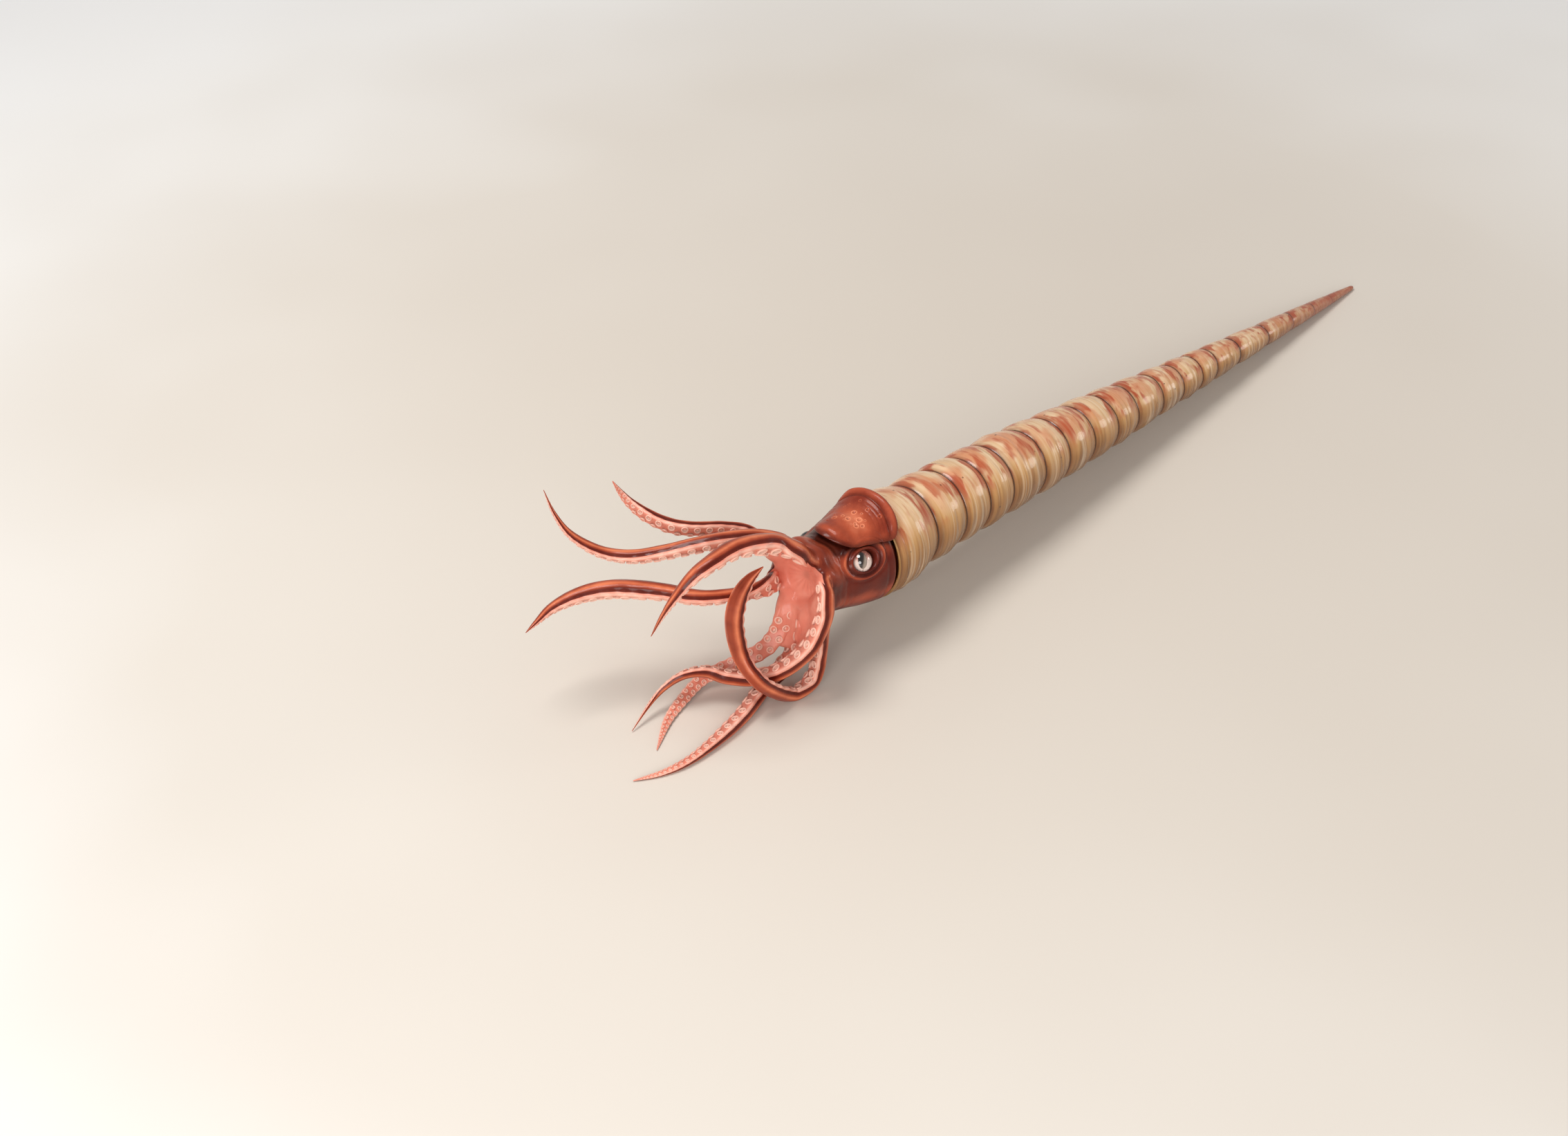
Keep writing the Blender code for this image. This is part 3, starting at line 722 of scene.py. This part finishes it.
def make_arm(name, facts):
    arm = Arm(*facts, ROLLS.get(name, NO_ROLL))
    turn, across, away = arm_section()
    suckers = sucker_places(arm)
    root = 0.72 + 0.28 * ease(arm.share[:, None] * arm.length / (0.8 * STUB))
    swell, half = arm_swell(arm, turn, suckers), arm.half[:, None] * root
    rows = (arm.line[:, None] + arm.across[:, None] * (across[None] * swell * half)[..., None]
            + arm.away[:, None] * (away[None] * swell * half)[..., None])
    ends = stack([arm.line[0] - arm.along[0] * 0.2, arm.line[-1] + arm.along[-1] * 0.05])
    points, faces = [capped(ends, rows)], turned_faces(ARM_ROWS, ARM_SIDES)
    pink, lit = arm_colours(name, arm, turn)
    pinks = [[pink[0].mean()], pink.ravel(), [pink[-1].mean()]]
    lits, painted_shades = [[0.5], lit.ravel(), [0.5]], [np.zeros(lit.size + 2)]
    first = lit.size + 2
    for sucker in suckers:
        cup = sucker_cup(arm, *sucker)
        faces += turned_faces(len(SUCKER_PROFILE), SUCKER_SIDES, first)
        first += len(cup)
        points.append(cup)
        pinks.append(np.ones(len(cup)))
        lits.append(np.ones(len(cup)))
        painted_shades.append(concatenate([[0.4], np.repeat(SUCKER_PAINTED_SHADE, SUCKER_SIDES), [0.0]]))
    values = {"pink": concatenate(pinks), "lit": concatenate(lits), "painted_shade": concatenate(painted_shades)}
    make_object(name + "_skin", concatenate(points), faces, values, ARM_SKIN, name)
    return arm


# ---- head ----

def eye_distance(forward, angle, side):
    """Distance over the head from one eye's middle, and the way round it from straight up."""
    down = wrapped(angle - EYE_ANGLES[side]) * side * 13.3
    along = (forward - EYE_FORWARD) / 1.3
    return hypot(along, down), np.arctan2(down, along)


def head_radius(forward, angle):
    """The head's outline with its lids, folds and the ridges that run on into the arms."""
    radius = smooth_table(HEAD_OUTLINE, forward, 1.2)
    for side in (-1, 1):
        away, turn = eye_distance(forward, angle, side)
        lid = LID_RADIUS - 0.35 * bell(turn + pi / 2, 0.9)
        relief = 1.0 if side > 0 else FAR_EYE_RELIEF
        radius += 0.5 * relief * bell(away, 5.0)
        radius -= 1.9 * ease((lid + 0.3 - away) / 0.7)
        radius += (0.35 + 0.3 * bell(turn + 1.6, 1.0)) * relief * bell(away - lid - 0.55, 0.45)
        radius -= 0.4 * bell(away - 4.3, 0.4)
        ring = bell(away - 5.3 - 0.25 * sin(2 * turn), 0.55)
        radius += 0.4 * relief * ring * (0.7 + 0.3 * cos(turn - 2.4))
        radius -= 0.25 * bell(away - 6.4, 0.5)
    lobes = cos(8 * (angle - FIRST_ARM))
    radius += 0.5 * lobes * ease((forward - 21) / 8) * ease((32 - forward) / 3)
    folds = ripple(forward * 0.25, cos(angle) * 3.2, sin(angle) * 3.2, seed=12)
    radius += 0.14 * folds * ease((forward + 2) / 5)
    cross = sin(forward * 2.6 + 1.3 * ripple(cos(angle) * 1.5, sin(angle) * 1.5, seed=13))
    radius += 0.09 * cross * bell(forward - 24.5, 3.2)
    # The mantle's edge rolls over the shell's lip.
    radius += 0.25 * bell(forward - LIP - 2.0, 0.9) - 0.2 * bell(forward - LIP - 4.2, 0.6)
    return radius


def head_field(forward, left, up, arms):
    """How far places are outside the head, its crown and its arms' roots, in about millimetres."""
    raised = up + drop_at(forward)
    radius = hypot(left, raised)
    angle = np.arctan2(left, raised)
    field = (radius - head_radius(forward, angle)) * 0.9
    field = -smooth_least(-field, -(forward - 30.6), 1.0)
    out = hypot(left, up)
    rim = hypot(forward - RIM_FORWARD, out - ARM_RING_RADIUS) - RIM_RADIUS
    field = smooth_least(field, rim, 1.6)
    near = forward > CROWN
    places = stack([forward[near], left[near], up[near]], 1)
    for arm in arms.values():
        field[near] = smooth_least(field[near], root_distance(places, arm), 1.1)
    field[near] = smooth_least(field[near], web_distance(places, arms), 1.6)
    # The funnel inside the crown, down to the mouth.
    cup = out - np.interp(forward, *np.array(FUNNEL).T)
    cup = np.where(near, cup * 0.8, 5.0)
    cup = -smooth_least(-cup, forward - MOUTH_FLOOR, 0.8)
    return -smooth_least(-field, cup, 0.9)


def root_distance(places, arm):
    """How far places are outside the root of one arm."""
    stations = np.flatnonzero(arm.share * arm.length < STUB)[::3]
    centres = stack(body_places(arm.line[stations]), 1)
    body = stack([FORWARD, LEFT, UP], 1)
    along, across, away = [rows[stations] @ body for rows in (arm.along, arm.across, arm.away)]
    best = np.full(len(places), FAR)
    for k, station in enumerate(stations):
        gone = arm.share[station] * arm.length
        half = arm.half[station] * (1.04 - 0.2 * ease((gone - 4.0) / (STUB - 4.0)))
        gap = places - centres[k]
        back = gap @ away[k] - 0.1 * half
        reach = np.sqrt((gap @ across[k]) ** 2 + (back / 0.7) ** 2 + (gap @ along[k]) ** 2) - half
        best = np.minimum(best, reach * 0.8)
    return best


def web_distance(places, arms):
    """How far places are outside the sheets of skin between the roots of the lower arms."""
    best = np.full(len(places), FAR)
    across = np.linspace(0, 1, 22)[:, None, None]
    sag = across * (1 - across) * 4 * np.array((WEB_SAG, 0, 0))
    for first, second, reach in WEBS:
        gone = np.linspace(2.0, reach, 16)
        one, other = [
            between(gone, arm.share * arm.length, stack(body_places(arm.line), 1))
            for arm in (arms[first], arms[second])
        ]
        sheet = (one * (1 - across) + other * across)[:, :-1] - sag
        sheet = sheet.reshape(-1, 3)
        low, high = sheet.min(0) - 2, sheet.max(0) + 2
        close = np.flatnonzero(((places > low) & (places < high)).all(1))
        for start in range(0, len(close), 20000):
            some = close[start:start + 20000]
            gap = np.sqrt(((places[some, None] - sheet[None]) ** 2).sum(2).min(1))
            best[some] = np.minimum(best[some], gap - WEB_HALF)
    return best


def edge_crossings(field):
    """For each cell, the sum and the number of the places on its edges where the field passes zero."""
    inside = field < 0
    cells = tuple(n - 1 for n in field.shape)
    total = np.zeros((*cells, 3), np.float32)
    count = np.zeros(cells, np.float32)

    def part(array, corner):
        return array[tuple(slice(c, c + n) for c, n in zip(corner, cells))]

    for axis in range(3):
        for start in np.ndindex(2, 2, 2):
            if start[axis]:
                continue
            end = tuple(c + (i == axis) for i, c in enumerate(start))
            a, b = part(field, start), part(field, end)
            crossed = part(inside, start) != part(inside, end)
            share = np.where(crossed, a / np.where(crossed, a - b, 1), 0)
            for i in range(3):
                total[..., i] += crossed * (start[i] + (share if i == axis else 0))
            count += crossed
    return total, count


def quads_between(inside, number):
    """A face between the points of the four cells round each grid edge that the surface crosses."""
    quads = []
    for axis, shift in enumerate(np.eye(3, dtype=int)):
        others = [i for i in range(3) if i != axis]
        one, two = np.eye(3, dtype=int)[others]
        low_side = inside[tuple(slice(0, n - s) for n, s in zip(inside.shape, shift))]
        high_side = inside[tuple(slice(s, n) for n, s in zip(inside.shape, shift))]
        spots = np.argwhere(low_side != high_side)
        places = spots[:, others]
        spots = spots[((places > 0) & (places < np.array(number.shape)[others])).all(1)]
        cells = [spots - one - two, spots - two, spots, spots - one]
        quad = stack([number[tuple(cell.T)] for cell in cells], 1)
        outward = low_side[tuple(spots.T)] != (axis == 1)
        quads.append(np.where(outward[:, None], quad, quad[:, ::-1]))
    return concatenate(quads)


def surface_of(field, low, step):
    """A closed mesh where the field passes zero: one point in each cell that it crosses."""
    total, count = edge_crossings(field)
    used = count > 0
    number = np.full(used.shape, -1)
    number[used] = np.arange(used.sum())
    points = np.argwhere(used) + total[used] / count[used][:, None]
    return low + points * step, quads_between(field < 0, number)


def relax(points, quads, rounds, keep=0.0):
    """Moves each point, or a value held there, part of the way to the middle of its neighbours."""
    ends = concatenate([quads[:, [i, (i + 1) % 4]] for i in range(4)])
    ends = np.unique(np.sort(ends, axis=1), axis=0)
    count = np.bincount(ends.ravel(), minlength=len(points))[:, None]
    for _ in range(rounds):
        total = np.zeros_like(points)
        for i in range(points.shape[1]):
            total[:, i] = (np.bincount(ends[:, 0], points[ends[:, 1], i], len(points))
                           + np.bincount(ends[:, 1], points[ends[:, 0], i], len(points)))
        points = points * keep + total / count * (1 - keep)
    return points


def head_shape(arms):
    """The head's points and quads, and each point's (forward, left, up, up from the middle line)."""
    counts = np.ceil((HEAD_HIGH - HEAD_LOW) / VOXEL).astype(int) + 1
    axes = [low + VOXEL * np.arange(count) for low, count in zip(HEAD_LOW, counts)]
    forward, left, up = np.meshgrid(*axes, indexing="ij")
    field = head_field(forward, left, up, arms)
    field = np.maximum(field, HEAD_REAR - forward)
    for axis in range(3):
        sides = np.moveaxis(field, axis, 0)
        sides[0], sides[-1] = 1.0, 1.0
    points, quads = surface_of(field, HEAD_LOW, VOXEL)
    points = relax(points, quads, 3, 0.3)
    forward, left, up = points.T
    # Behind the crown the points go exactly onto the outline.
    drop = drop_at(forward)
    raised = up + drop
    radius, angle = hypot(left, raised), np.arctan2(left, raised)
    exact = ease((26.5 - forward) / 3) * (forward > HEAD_REAR + 0.6) * (radius > 6)
    wanted = head_radius(forward, angle)
    scale = 1 + exact * (wanted / np.maximum(radius, 1e-6) - 1)
    left, raised = left * scale, raised * scale
    up = raised - drop
    out, turn = hypot(left, up), np.arctan2(left, up)
    # Folds that run into the mouth.
    mouth = ease((out - 0.5) / 1.5) * ease((6.4 - out) / 2.0) * (forward > CROWN)
    forward = forward + 0.1 * sin(17 * turn + 1.5 * sin(3 * turn)) * mouth
    points = OPENING + forward[:, None] * FORWARD + left[:, None] * LEFT + up[:, None] * UP
    return points, quads, (forward, left, up, raised)


def crown_colours(points, quads, places, arms, lit):
    """How pink the head is and how much painted light it gets: pink inside the crown, and each arm's root as
    its arm is.
    """
    forward, left, up, _ = places
    normals = point_normals(points, quads)
    inward = -(normals @ LEFT * left + normals @ UP * up) / np.maximum(hypot(left, up), 1.0)
    inward += 0.9 * (normals @ FORWARD)
    pink = clip(0.5 + 0.9 * np.minimum(inward - 0.35, (forward - 28.4) * 0.5), 0, 1)
    pink, lit = side_of_arm(points, normals, forward, arms, pink, lit)
    return relax(pink[:, None], quads, 8)[:, 0], lit


def make_head(arms):
    points, quads, places = head_shape(arms)
    forward, left, up, raised = places
    out, turn, angle = hypot(left, up), np.arctan2(left, up), np.arctan2(left, raised)
    patches = ripple(forward * 0.2, cos(angle) * 2, sin(angle) * 2, seed=21)
    # Painted light from above: lighter on top, with random patches of tone.
    lit = 0.34 + 0.24 * cos(angle) + 0.12 * patches
    # A painted highlight on the neck's saddle and a painted band of light low on each side.
    lit += 0.3 * bell(forward - 25.5, 3.5) * bell(np.abs(angle) - 0.8, 0.5)
    lit += 0.35 * bell(np.abs(angle) - 1.95, 0.2) * ease((30 - forward) / 4)
    pink, lit = crown_colours(points, quads, places, arms, lit)
    # Painted shade behind the lip, round the eyes, under the hood's edge, deep in the mouth and between the
    # arms; round each eye also a painted highlight on the fold and painted shade on the skin near it.
    painted_shade = 0.6 * bell(forward - LIP, 0.9) + 0.22 * bell(forward - LIP - 4.2, 0.7)
    for side in (-1, 1):
        away, _ = eye_distance(forward, angle, side)
        painted_shade += 0.75 * ease((3.4 - away) / 0.7) + 0.5 * bell(away - 4.3, 0.5)
        lit += 0.4 * bell(away - 5.3, 0.35) - 0.3 * bell(away, 8.0)
    hood_edge = np.radians(smooth_table(HOOD_WIDTHS, forward, 1.0))
    under = ease((hood_edge * 13.5 + 1.6 - np.abs(angle) * 13.5) / 2.2) * ease((26.4 - forward) / 1.5)
    painted_shade = np.where(forward < 27, np.maximum(painted_shade, 0.9 * under), painted_shade)
    painted_shade = clip(painted_shade, 0, 1) * (1 - pink)
    deep = ease((2.2 - out) / 1.8) * (forward > CROWN)
    valley = clip(-cos(8 * (turn - FIRST_ARM)), 0, 1) * ease((forward - 24) / 4) * (out > 9)
    painted_shade = clip(painted_shade + 0.2 * deep + 0.25 * valley * (1 - pink), 0, 1)
    lit = clip(np.where(pink > 0.5, 0.6, lit), 0, 1)
    values = {"pink": pink, "painted_shade": painted_shade, "lit": lit}
    make_object("head_skin", points, quads.tolist(), values, SKIN, "head")


def point_normals(points, quads):
    """The outward way at each point, as the mean over its faces."""
    one, two = points[quads[:, 2]] - points[quads[:, 0]], points[quads[:, 3]] - points[quads[:, 1]]
    flat = np.cross(one, two)
    total = np.zeros_like(points)
    for corner in range(4):
        for i in range(3):
            total[:, i] += np.bincount(quads[:, corner], flat[:, i], len(points))
    return unit(total)


def side_of_arm(points, normals, forward, arms, pink, lit):
    """Carries the arms' colours and painted light back over their roots, each point taking after the nearest
    arms.
    """
    near = np.flatnonzero(forward > 27.0)
    total, pinks, lits = np.full(len(near), 1e-6), pink[near] * 1e-6, lit[near] * 1e-6
    for arm in arms.values():
        root = np.flatnonzero(arm.share * arm.length < 16.0)[::3]
        away = np.linalg.norm(points[near, None] - arm.line[root][None], axis=2)
        station = root[away.argmin(1)]
        away = away.min(1)
        half = arm.half[station]
        side = (normals[near] * arm.away[station]).sum(1)
        gone = arm.share[station] * arm.length
        weight = ease((2.6 - away / half) / 1.4) * ease((gone + 0.5) / 4.0)
        weight = weight * (half / np.maximum(away, half)) ** 4
        pinks += clip(0.5 - (side + BOUNDARY) * 1.2, 0, 1) * weight
        lits += clip(brown_light(side), 0, 1) * weight
        total += weight
    grown = clip(total * 1.5, 0, 1)
    pink[near] = pink[near] * (1 - grown) + pinks / total * grown
    lit[near] = lit[near] * (1 - grown) + lits / total * grown
    return pink, lit


# ---- hood ----

def hood_plan():
    """A closed pad, a rounded square from above: (level from 1 to -1, along, across, reach)."""
    polar = (np.arange(HOOD_ROWS) + 0.5)[:, None] * pi / HOOD_ROWS
    turn = turn_of(HOOD_SIDES)[None]
    along, across = sin(polar) * cos(turn), sin(polar) * sin(turn)
    squared = (np.abs(cos(turn)) ** 3.2 + np.abs(sin(turn)) ** 3.2) ** (-1 / 3.2)
    squared = 1 + (squared - 1) * 0.75
    return cos(polar), along * squared, across * squared, hypot(along, across)


def hood_radius(level, forward, across, angle, reach):
    """The pad's plain top, and its bottom on the head."""
    top = smooth_table(HOOD_TOP, forward, 0.4) - 1.6 * across**2
    bottom = np.maximum(head_radius(forward, angle) + 0.15, 15.6 - 2.5 * ease((forward - LIP - 0.7) / 2.5))
    top = np.maximum(top, bottom + 1.0)
    lift = np.sqrt(clip(1 - reach**7, 0, 1))
    middle = bottom + (top - bottom) * 0.42
    return np.where(level >= 0, middle + (top - middle) * lift, middle - (middle - bottom) * lift)


def hood_creases(forward, across, angle, from_rear):
    """A crease parallel to the rear edge parts the brim from the pad, with fine creases before it."""
    inner = ease((0.84 - np.abs(across)) / 0.16)
    relief = -0.4 * bell(from_rear - HOOD_BRIM, 0.4) * inner
    fade = ease((across * 1.2 + 0.15) / 0.6)
    for place, depth in ((5.0, 0.14), (6.1, 0.1), (7.4, 0.06)):
        relief -= depth * bell(from_rear - place, 0.22) * inner * fade
    relief -= 0.35 * bell(forward - 21.6 + 2.4 * across**2, 0.9)
    return relief + 0.09 * ripple(forward * 0.5, angle * 6, seed=31)


def hood_pits(forward, angle):
    """(relief, how much in a pit, how much on its edge) of pits that lie thickest in the middle."""
    rng = np.random.default_rng(11)
    relief, pitted, rimmed = np.zeros((3, *forward.shape))
    for _ in range(HOOD_PITS):
        place, round_at = rng.normal(11.8, 3.2), rng.normal(0.06, 0.2)
        size = rng.uniform(0.22, 0.6)
        gap = hypot(forward - place, (angle - round_at) * 16.5)
        relief -= 0.42 * size * bell(gap, size * 0.75)
        relief += 0.16 * size * bell(gap - size * 1.25, size * 0.4)
        pitted = np.maximum(pitted, bell(gap, size * 0.8))
        rimmed = np.maximum(rimmed, bell(gap - size * 1.25, size * 0.35))
    return relief, pitted, rimmed


def make_hood():
    level, along, across, reach = hood_plan()
    forward = HOOD_MIDDLE + HOOD_HALF_LENGTH * along
    widest = np.radians(smooth_table(HOOD_WIDTHS, forward, 1.2))
    tapered = np.sqrt(clip(1 - (np.abs(along) / 1.06) ** 5, 0.02, 1))
    angle = widest * across * (0.25 + 0.75 * tapered) * np.where(across > 0, 1.0, HOOD_FAR_SIDE)
    from_rear = forward - (HOOD_MIDDLE - HOOD_HALF_LENGTH) - 3.0 * across**2
    upper = (level >= 0) * ease((0.97 - reach) / 0.1)
    pits, pitted, rimmed = hood_pits(forward, angle)
    relief = (hood_creases(forward, across, angle, from_rear) + pits) * upper
    radius = hood_radius(level, forward, across, angle, reach) + relief
    ends = on_middle(np.array((HOOD_MIDDLE,) * 2), 0.0, np.array((radius[0].mean(), radius[-1].mean())))
    points = capped(ends, on_middle(forward, angle, radius))
    # Painted light in the pad's middle, along the brim, on the front lobe and on the pits' rims; painted
    # shade in the crease before the brim, round the edges, underneath and in the pits.
    lit = 0.38 + 0.42 * bell(forward - 13.0, 4.8) * bell(angle - 0.15, 0.5) + 0.2 * bell(from_rear - 2.0, 1.0)
    lit += 0.2 * bell(forward - 21.0, 1.6) * bell(across + 0.1, 0.5) + 0.3 * rimmed * upper
    painted_shade = 0.45 * bell(from_rear - HOOD_BRIM, 0.4) * upper + 0.6 * ease((reach - 0.82) / 0.18)
    painted_shade += (level < 0) * 0.8 + 0.3 * pitted * upper
    values = {}
    for label, value, end in (("lit", lit, 0.5), ("painted_shade", painted_shade, 0.0), ("pink", lit * 0, 0.0)):
        values[label] = concatenate([[end], clip(value, 0, 1).ravel(), [end]])
    faces = turned_faces(HOOD_ROWS, HOOD_SIDES)
    make_object("hood_pad", points, faces, values, HOOD_SKIN, "hood")


# ---- eyes ----

def make_eye(name, side):
    """An eyeball whose front bulges a little. Its points hold how far across and along the slit they are."""
    centre = on_middle(EYE_FORWARD, EYE_ANGLES[side], EYE_DEPTH - (FAR_EYE_SINK if side < 0 else 0.0))
    out = unit(cos(EYE_ANGLES[side]) * UP + sin(EYE_ANGLES[side]) * LEFT)
    out = unit(out * cos(EYE_GAZE) + FORWARD * sin(EYE_GAZE))
    high = np.array((0.0, 0.0, 1.0))
    high = unit(high - out * (high @ out))
    wide = np.cross(high, out)
    polar = (np.arange(EYE_ROWS) + 0.5)[:, None, None] * pi / EYE_ROWS
    turn = turn_of(EYE_SIDES)[None, :, None]
    ways = cos(polar) * out + sin(polar) * (cos(turn) * wide + sin(turn) * high)
    rows = centre + EYE_RADIUS * (1 + 0.035 * bell(polar, 0.5)) * ways
    ends = stack([centre + out * EYE_RADIUS * 1.035, centre - out * EYE_RADIUS])
    points = capped(ends, rows)
    gap = points - centre
    values = {
        "slit_across": np.where(gap @ out > 0, gap @ wide / 2.6, 2.0),
        "slit_along": clip((gap @ high - 0.4) / 2.4, -1, 1),
    }
    make_object(name + "_ball", points, turned_faces(EYE_ROWS, EYE_SIDES), values, EYE, name)


# ---- stage ----

def make_stage():
    bpy.ops.mesh.primitive_plane_add(size=FLOOR_SIZE)
    floor = bpy.context.object
    floor.name = "floor"
    floor.data.materials.append(floor_finish())


def placed(name, data, place, look):
    """A light or camera at a place, looking one way."""
    made = bpy.data.objects.new(name, data)
    made.location = place
    made.rotation_euler = look.to_track_quat("-Z", "Y").to_euler()
    bpy.context.scene.collection.objects.link(made)
    return made


def make_lights():
    for name, (place, size, power, colour) in LIGHTS.items():
        data = bpy.data.lights.new(name, "AREA")
        data.shape = "DISK"
        data.size = size
        data.energy = power
        data.color = colour
        placed(name, data, place, LIGHT_AIM - Vector(place))
    world = bpy.data.worlds.new("studio")
    world.use_nodes = True
    sky = world.node_tree.nodes["Background"].inputs
    sky["Color"].default_value = SKY_COLOUR
    sky["Strength"].default_value = SKY_STRENGTH
    bpy.context.scene.world = world


def make_camera():
    data = bpy.data.cameras.new("camera")
    data.lens = LENS
    data.sensor_width = SENSOR
    data.clip_end = CLIP_END
    level = cos(CAMERA_ELEVATION)
    look = Vector((-sin(CAMERA_AZIMUTH) * level, cos(CAMERA_AZIMUTH) * level,
                   -sin(CAMERA_ELEVATION)))
    bpy.context.scene.camera = placed("camera", data, (CAMERA_PLACE - ORIGIN) * METRES, look)


def main():
    make_camera()
    make_stage()
    make_lights()
    make_shell()
    arms = {name: make_arm(name, facts) for name, facts in ARMS.items()}
    make_head(arms)
    make_hood()
    make_eye("eye_left", 1)
    make_eye("eye_right", -1)
    bpy.context.scene.view_settings.view_transform = "Standard"


main()
